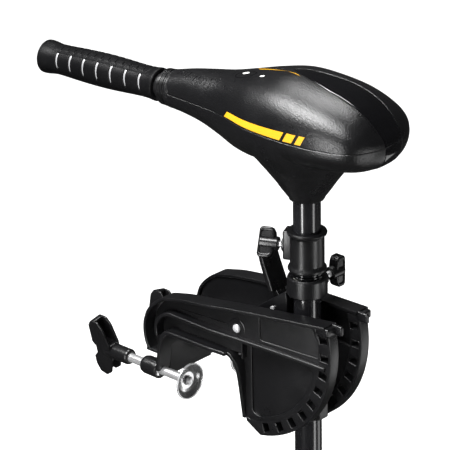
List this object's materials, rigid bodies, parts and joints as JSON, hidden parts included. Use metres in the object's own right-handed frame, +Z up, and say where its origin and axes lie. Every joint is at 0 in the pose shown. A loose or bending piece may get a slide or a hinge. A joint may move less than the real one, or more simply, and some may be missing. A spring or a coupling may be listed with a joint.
{
  "type": "transom-mount electric trolling motor",
  "caption": "Electric trolling motor with transom clamp bracket, tilting shaft, control head, telescoping twist tiller and a propeller-driven lower unit.",
  "frame": {"origin": "middle of the bracket's seat, where it rests on top of the transom", "axes": "+Z up along the shaft, +X aft away from the boat, +Y towards the boat's starboard side"},
  "size_m": [0.5148, 0.1291, 1.055],
  "materials": {
    "moulded_black": "satin, lightly textured glass-filled nylon",
    "soft_black": "matte ribbed elastomer",
    "gloss_black": "polished black plastic",
    "composite_black": "glossy black composite tube",
    "polished_steel": "polished stainless steel",
    "motor_black": "satin black powder coat",
    "copper": "copper and lacquered laminations",
    "ferrite": "dull ceramic magnet",
    "white_plastic": "natural acetal",
    "carbon": "sintered carbon brush"
  },
  "bodies": {
    "bracket": {"bracket_side_left": "moulded_black", "bracket_side_right": "moulded_black", "bracket_saddle": "moulded_black", "hinge_pin": "polished_steel", "hinge_pin_clip": "polished_steel", "clamp_nut_left": "polished_steel", "clamp_nut_right": "polished_steel"},
    "cup_left": {"clamp_cup_left": "polished_steel"},
    "screw_left": {"clamp_screw_left": "polished_steel", "clamp_knob_left": "moulded_black"},
    "cup_right": {"clamp_cup_right": "polished_steel"},
    "screw_right": {"clamp_screw_right": "polished_steel", "clamp_knob_right": "moulded_black"},
    "arm": {"steering_arm": "moulded_black", "steering_bushing": "white_plastic", "lever_pin": "polished_steel", "friction_shoe": "white_plastic"},
    "lever": {"release_lever": "moulded_black"},
    "lock": {"lock_bar": "polished_steel", "pull_link": "polished_steel"},
    "tension": {"tension_knob": "moulded_black", "tension_screw": "polished_steel"},
    "collar": {"depth_collar": "moulded_black", "thrust_washer": "gloss_black"},
    "collar_clamp": {"collar_knob": "moulded_black", "collar_screw": "polished_steel"},
    "lower_unit": {"shaft": "composite_black", "head_upper_shell": "moulded_black", "head_lower_shell": "moulded_black", "gloss_panel": "gloss_black", "head_screw_1": "polished_steel", "head_screw_2": "polished_steel", "head_screw_3": "polished_steel", "cable_gland": "soft_black", "tiller_bushing": "moulded_black", "speed_switch": "white_plastic", "motor_cable": "soft_black", "motor_can": "motor_black", "nose_housing": "motor_black", "tail_housing": "motor_black", "magnet_top": "ferrite", "magnet_bottom": "ferrite", "brush_plate": "white_plastic", "brush_left": "carbon", "brush_right": "carbon", "front_bearing": "polished_steel", "rear_bearing": "polished_steel", "shaft_seal": "soft_black"},
    "tiller": {"tiller_tube": "polished_steel"},
    "grip": {"twist_grip": "soft_black", "drive_rod": "polished_steel"},
    "rotor": {"switch_rotor": "white_plastic"},
    "prop": {"armature_shaft": "polished_steel", "armature_core": "copper", "commutator": "copper", "drive_pin": "polished_steel", "propeller": "moulded_black", "prop_nut": "polished_steel"}
  },
  "joints": [
    {"name": "clamp_travel_left", "type": "slide", "parent": "bracket", "child": "cup_left", "axis": [1, 0, 0], "range_m": [-0.025, 0.0205]},
    {"name": "clamp_turn_left", "type": "hinge", "parent": "cup_left", "child": "screw_left", "pos_m": [-0.11, -0.042, -0.047], "axis": [1, 0, 0], "range_deg": [-4500, 3690]},
    {"name": "clamp_travel_right", "type": "slide", "parent": "bracket", "child": "cup_right", "axis": [1, 0, 0], "range_m": [-0.025, 0.0205]},
    {"name": "clamp_turn_right", "type": "hinge", "parent": "cup_right", "child": "screw_right", "pos_m": [-0.11, 0.042, -0.047], "axis": [1, 0, 0], "range_deg": [-4500, 3690]},
    {"name": "tilt", "type": "hinge", "parent": "bracket", "child": "arm", "pos_m": [0.0505, 0, 0.034], "axis": [0, -1, 0], "range_deg": [0, 82.4]},
    {"name": "release", "type": "hinge", "parent": "arm", "child": "lever", "pos_m": [0.079, 0, 0.057], "axis": [0, 1, 0], "range_deg": [-20, 0]},
    {"name": "lock_slide", "type": "slide", "parent": "arm", "child": "lock", "axis": [-0.284, 0, 0.9588], "range_m": [-0.01, 0]},
    {"name": "tension_turn", "type": "hinge", "parent": "arm", "child": "tension", "pos_m": [0.115, 0.04, 0.09], "axis": [0, -1, 0], "range_deg": [-360, 90]},
    {"name": "steer", "type": "hinge", "parent": "arm", "child": "collar", "pos_m": [0.115, 0, 0.107], "axis": [0, 0, 1], "continuous": true},
    {"name": "collar_turn", "type": "hinge", "parent": "collar", "child": "collar_clamp", "pos_m": [0.07875, -0.0169, 0.132], "axis": [0.9063, 0.4226, 0], "range_deg": [-360, 90]},
    {"name": "depth", "type": "slide", "parent": "collar", "child": "lower_unit", "axis": [0, 0, 1], "range_m": [-0.033, 0.35]},
    {"name": "telescope", "type": "slide", "parent": "lower_unit", "child": "tiller", "axis": [-0.9962, -0.0872, 0], "range_m": [0, 0.15]},
    {"name": "throttle", "type": "hinge", "parent": "tiller", "child": "grip", "pos_m": [-0.14401, -0.02266, 0.268], "axis": [-0.9962, -0.0872, 0], "range_deg": [-67.5, 112.5]},
    {"name": "switch_turn", "type": "hinge", "parent": "lower_unit", "child": "rotor", "pos_m": [0.14489, 0.00262, 0.268], "axis": [-0.9962, -0.0872, 0], "range_deg": [-67.5, 112.5]},
    {"name": "prop_spin", "type": "hinge", "parent": "lower_unit", "child": "prop", "pos_m": [0.115, 0, -0.62], "axis": [0.9962, 0.0872, 0], "continuous": true}
  ],
  "couplings": [
    {"joint": "clamp_travel_left", "follows": "clamp_turn_left", "m_per_rad": 0.00031831},
    {"joint": "clamp_travel_right", "follows": "clamp_turn_right", "m_per_rad": 0.00031831},
    {"joint": "lock_slide", "follows": "release", "m_per_rad": 0.028361},
    {"joint": "switch_turn", "follows": "throttle", "ratio": 1}
  ]
}
